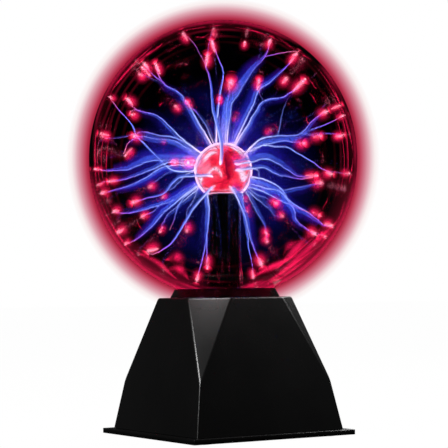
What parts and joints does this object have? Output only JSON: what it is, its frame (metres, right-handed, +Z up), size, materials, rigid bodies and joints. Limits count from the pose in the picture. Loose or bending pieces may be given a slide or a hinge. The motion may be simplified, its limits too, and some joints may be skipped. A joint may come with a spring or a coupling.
{
  "type": "plasma ball",
  "caption": "Tinted glass globe with a central glowing electrode, on a black square-based pyramid with cut corners.",
  "frame": {"origin": "centre of the four feet, on the table", "axes": "+Z up, -Y towards the front, +Y towards the side with the switch and the power socket, +X to the right seen from the front"},
  "size_m": [0.2, 0.2, 0.3084],
  "materials": {
    "globe_glass": "blown glass, smoke tinted, polished",
    "inner_glass": "blown glass",
    "electrode_wool": "steel wool, lit by the discharge",
    "black_plastic": "satin black moulded plastic with a fine grain",
    "black_rubber": "matt",
    "zinc_steel": "zinc plated",
    "brass": "turned",
    "aluminium": "extruded, bare",
    "ferrite": "sintered, dark grey",
    "coil_potting": "cast epoxy",
    "enamelled_copper": "enamelled copper wire",
    "red_silicone": "silicone insulation",
    "circuit_green": "solder mask",
    "black_epoxy": "moulded epoxy",
    "capacitor_sleeve": "shrunk plastic sleeve",
    "film_capacitor_yellow": "moulded plastic"
  },
  "bodies": {
    "root": {"base_housing": "black_plastic", "board_screw_1": "zinc_steel", "board_screw_2": "zinc_steel", "board_screw_3": "zinc_steel", "board_screw_4": "zinc_steel", "bottom_plate": "black_plastic", "capacitor_large": "capacitor_sleeve", "capacitor_small": "capacitor_sleeve", "case_screw_1": "zinc_steel", "case_screw_2": "zinc_steel", "case_screw_3": "zinc_steel", "case_screw_4": "zinc_steel", "choke": "enamelled_copper", "circuit_board": "circuit_green", "contact_clip": "brass", "core_lower": "ferrite", "core_upper": "ferrite", "dc_socket": "black_plastic", "electrode_rod": "brass", "electrode_wool": "electrode_wool", "exhaust_tip": "inner_glass", "film_capacitor": "film_capacitor_yellow", "globe_collar": "black_plastic", "globe_glass": "globe_glass", "heatsink": "aluminium", "high_voltage_lead": "red_silicone", "inner_glass": "inner_glass", "microphone": "aluminium", "neck_bushing": "black_rubber", "power_transistor": "black_epoxy", "primary_coil": "enamelled_copper", "rubber_foot_1": "black_rubber", "rubber_foot_2": "black_rubber", "rubber_foot_3": "black_rubber", "rubber_foot_4": "black_rubber", "seat_gasket": "black_rubber", "secondary_coil": "coil_potting", "socket_pin": "zinc_steel", "stem_sleeve": "black_plastic", "switch_body": "zinc_steel", "timer_chip": "black_epoxy", "transistor_screw": "zinc_steel"},
    "switch": {"switch_lever": "black_plastic"}
  },
  "joints": [
    {"name": "switch_slide", "type": "slide", "parent": "root", "child": "switch", "axis": [1, 0, 0], "range_m": [0, 0.004]}
  ]
}
